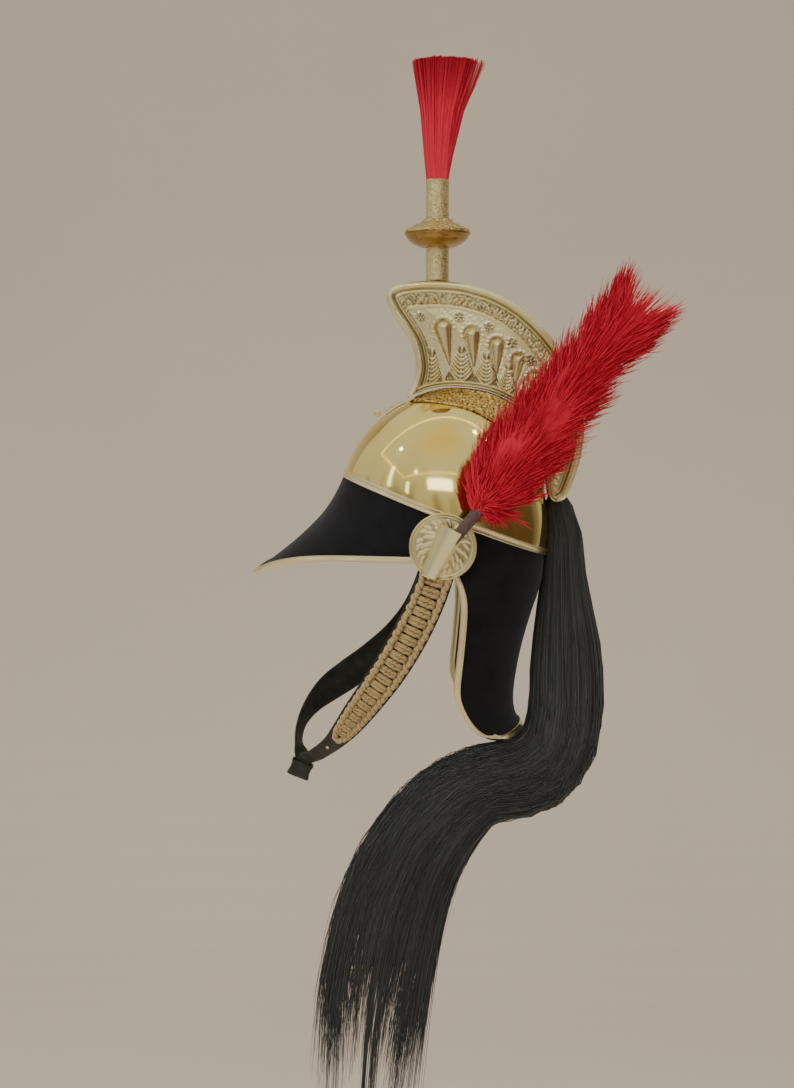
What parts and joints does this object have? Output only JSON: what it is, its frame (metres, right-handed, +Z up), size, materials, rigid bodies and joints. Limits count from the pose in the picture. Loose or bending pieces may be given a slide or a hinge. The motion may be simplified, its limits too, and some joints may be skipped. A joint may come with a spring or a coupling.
{
  "type": "cuirassier helmet",
  "caption": "Brass cavalry helmet with a raised crest, red brush and feather plume, black velvet peak and neck guard, corded chin strap and a long black horsehair tail.",
  "frame": {"origin": "middle of the head opening at the height of the headband, where a head carries the helmet", "axes": "+Z up as worn, -Y the way the wearer looks, +X the wearer's left"},
  "size_m": [0.2374, 0.4006, 1.061],
  "materials": {
    "bowl_brass": "polished, lightly worn",
    "trim_brass": "polished edging",
    "crest_brass": "stamped and satin",
    "velvet": "short black velvet over leather",
    "leather": "black, worn smooth",
    "gold_cord": "twisted dull gold cord",
    "red_feather": "soft red hackle feather",
    "red_hair": "straight red hair",
    "black_hair": "straight black horsehair",
    "stem_wood": "dark stained, matt"
  },
  "bodies": {
    "root": {"skull": "bowl_brass", "skull_rim_band": "bowl_brass", "plume_tube": "bowl_brass", "plume_disc": "bowl_brass", "peak_trim": "trim_brass", "neck_guard_trim": "trim_brass", "crest_plate_left": "crest_brass", "crest_plate_right": "crest_brass", "crest_ridge": "crest_brass", "crest_base_left": "crest_brass", "crest_base_right": "crest_brass", "crest_tongue": "crest_brass", "tongue_nut": "crest_brass", "rosette_left": "crest_brass", "rosette_right": "crest_brass", "plume_socket": "crest_brass", "peak": "velvet", "neck_guard": "velvet", "chin_strap_left": "leather", "chin_strap_right": "leather", "strap_slider": "leather", "cord_lace_left": "gold_cord", "cord_lace_right": "gold_cord", "side_plume": "red_feather", "crest_brush": "red_hair", "horsehair_tail": "black_hair", "plume_stem": "stem_wood"}
  },
  "joints": []
}
